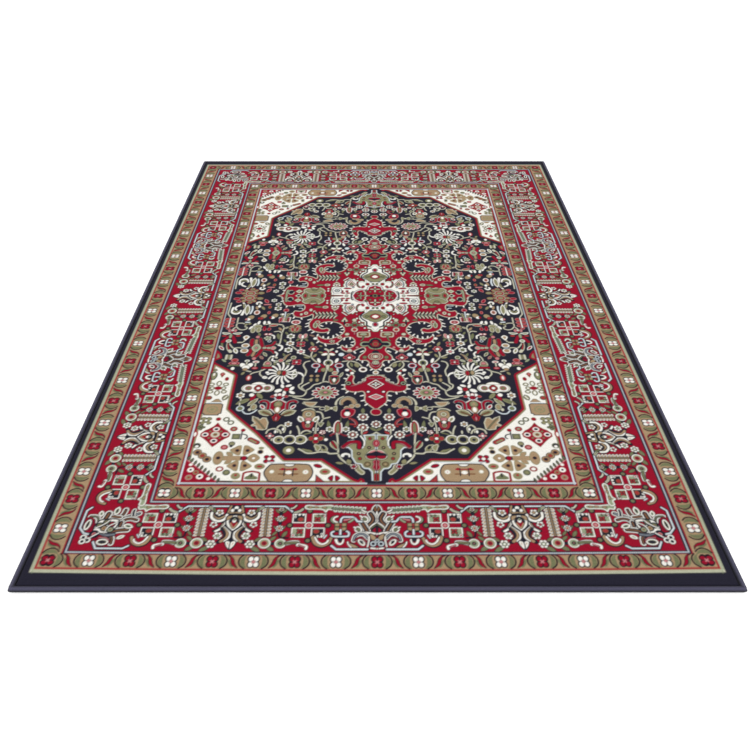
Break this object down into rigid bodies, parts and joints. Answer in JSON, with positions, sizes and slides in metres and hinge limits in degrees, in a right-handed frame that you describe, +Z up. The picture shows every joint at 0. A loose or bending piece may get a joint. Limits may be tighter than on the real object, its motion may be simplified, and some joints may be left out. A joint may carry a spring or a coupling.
{
  "type": "area rug",
  "caption": "Rectangular cut-pile area rug with a lobed medallion, stepped corner pieces, flowered guard bands and serged edges on a jute ground with a latex back.",
  "frame": {"origin": "the middle of the rug's underside, at floor level", "axes": "+X across the width, +Y along the length from the front end to the back end, +Z up out of the pile"},
  "size_m": [1.6, 2.3, 0.0115],
  "materials": {
    "navy_pile": "soft cut pile, matt",
    "crimson_pile": "soft cut pile, matt",
    "camel_pile": "soft cut pile, matt",
    "ivory_pile": "soft cut pile, matt",
    "serging_yarn": "overlocked yarn with a slight lustre",
    "filler_cord": "twisted cord, matt",
    "warp_yarn": "poly-cotton yarn, matt",
    "jute_weft": "coarse jute, matt",
    "latex_coat": "thin latex size over the weave, matt"
  },
  "bodies": {
    "root": {"latex_back_coat": "latex_coat", "jute_weft_layer": "jute_weft", "warp_yarn_layer": "warp_yarn", "pile_inner_guard_front": "camel_pile", "pile_inner_guard_right": "camel_pile", "pile_inner_guard_back": "camel_pile", "pile_inner_guard_left": "camel_pile", "pile_main_border_front": "crimson_pile", "pile_main_border_right": "crimson_pile", "pile_main_border_back": "crimson_pile", "pile_main_border_left": "crimson_pile", "pile_outer_guard_front": "camel_pile", "pile_outer_guard_right": "camel_pile", "pile_outer_guard_back": "camel_pile", "pile_outer_guard_left": "camel_pile", "pile_edge_band_front": "navy_pile", "pile_edge_band_right": "navy_pile", "pile_edge_band_back": "navy_pile", "pile_edge_band_left": "navy_pile", "pile_spandrel_front_left": "ivory_pile", "pile_spandrel_front_right": "ivory_pile", "pile_spandrel_back_left": "ivory_pile", "pile_spandrel_back_right": "ivory_pile", "pile_field": "navy_pile", "pile_medallion": "crimson_pile", "edge_cord_front": "filler_cord", "edge_cord_right": "filler_cord", "edge_cord_back": "filler_cord", "edge_cord_left": "filler_cord", "serging_wrap_front": "serging_yarn", "serging_wrap_right": "serging_yarn", "serging_wrap_back": "serging_yarn", "serging_wrap_left": "serging_yarn"}
  },
  "joints": []
}
